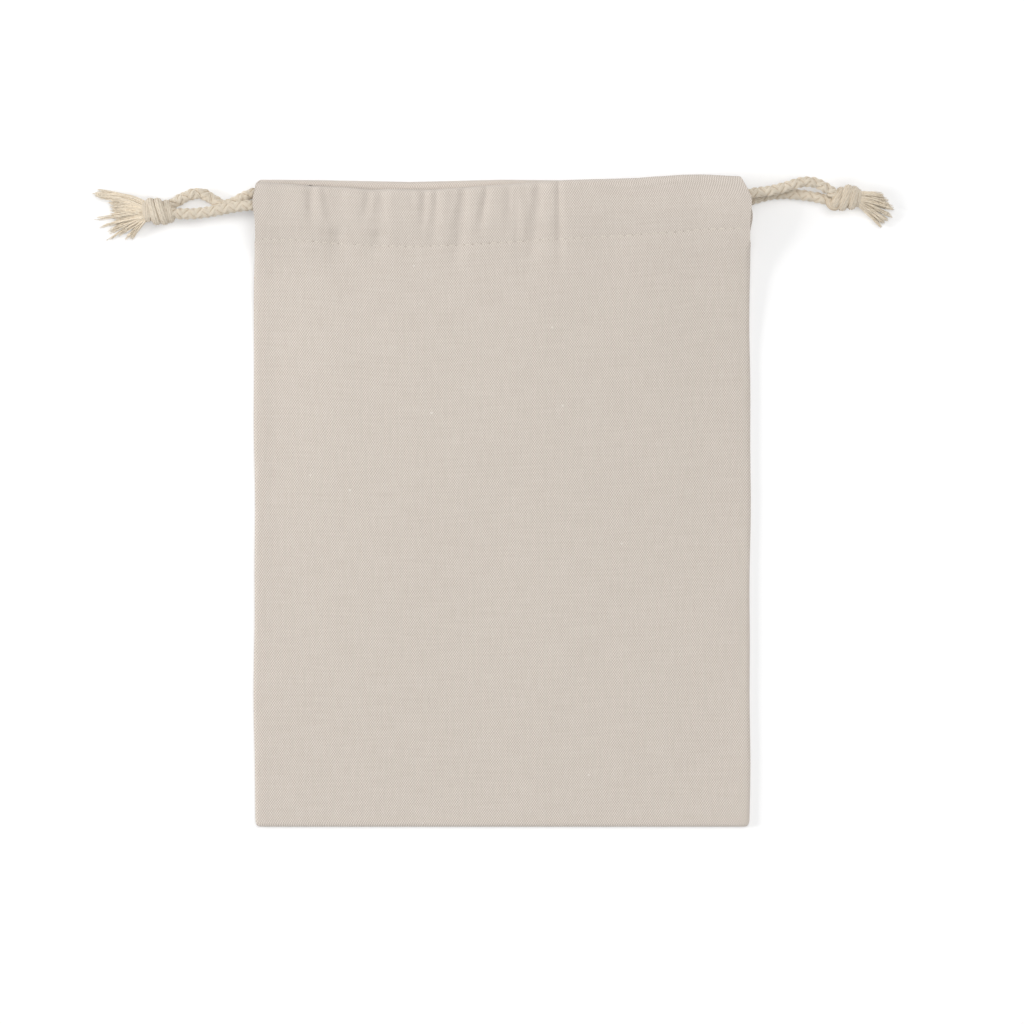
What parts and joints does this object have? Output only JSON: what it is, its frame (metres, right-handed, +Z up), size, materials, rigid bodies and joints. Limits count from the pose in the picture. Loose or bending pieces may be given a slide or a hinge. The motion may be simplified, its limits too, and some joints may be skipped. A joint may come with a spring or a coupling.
{
  "type": "drawstring gift sack",
  "caption": "Flat cotton gift sack, lying on its back, with a cord channel on each lip of its mouth and a knotted, tasselled drawcord at each side.",
  "frame": {"origin": "on the surface that the sack lies on, under the middle of the cloth sack, cords left out", "axes": "+X across the sack to the right, +Y from the closed foot to the mouth, +Z up from the surface, out of the front panel"},
  "size_m": [0.3222, 0.2624, 0.0162],
  "materials": {
    "cloth": "undyed cotton twill, matt, fine diagonal weave",
    "thread": "undyed cotton sewing thread",
    "cord": "braided undyed cotton cord, soft and matt",
    "fringe": "unlaid cotton yarn, soft, slightly glossy"
  },
  "bodies": {
    "sack": {"back_panel": "cloth", "front_panel": "cloth", "back_casing": "cloth", "front_casing": "cloth", "left_back_slit_hem": "cloth", "left_front_slit_hem": "cloth", "right_back_slit_hem": "cloth", "right_front_slit_hem": "cloth", "left_side_seam": "cloth", "right_side_seam": "cloth", "foot_seam": "cloth", "back_casing_stitching": "thread", "front_casing_stitching": "thread"},
    "left_drawcord": {"left_cord_loop": "cord", "left_front_cord_end": "cord", "left_back_cord_end": "cord", "left_knot": "cord", "left_tassel": "fringe"},
    "right_drawcord": {"right_cord_loop": "cord", "right_front_cord_end": "cord", "right_back_cord_end": "cord", "right_knot": "cord", "right_tassel": "fringe"}
  },
  "joints": [
    {"name": "left_cord_pull", "type": "slide", "parent": "sack", "child": "left_drawcord", "axis": [-1, 0, 0], "range_m": [0, 0.065], "deforming": ["front_casing", "back_casing", "left_front_slit_hem", "left_back_slit_hem", "right_front_slit_hem", "right_back_slit_hem"]},
    {"name": "right_cord_pull", "type": "slide", "parent": "sack", "child": "right_drawcord", "axis": [1, 0, 0], "range_m": [0, 0.065], "deforming": ["front_casing", "back_casing", "left_front_slit_hem", "left_back_slit_hem", "right_front_slit_hem", "right_back_slit_hem"]}
  ],
  "couplings": [
    {"joint": "right_cord_pull", "follows": "left_cord_pull", "ratio": 1}
  ]
}
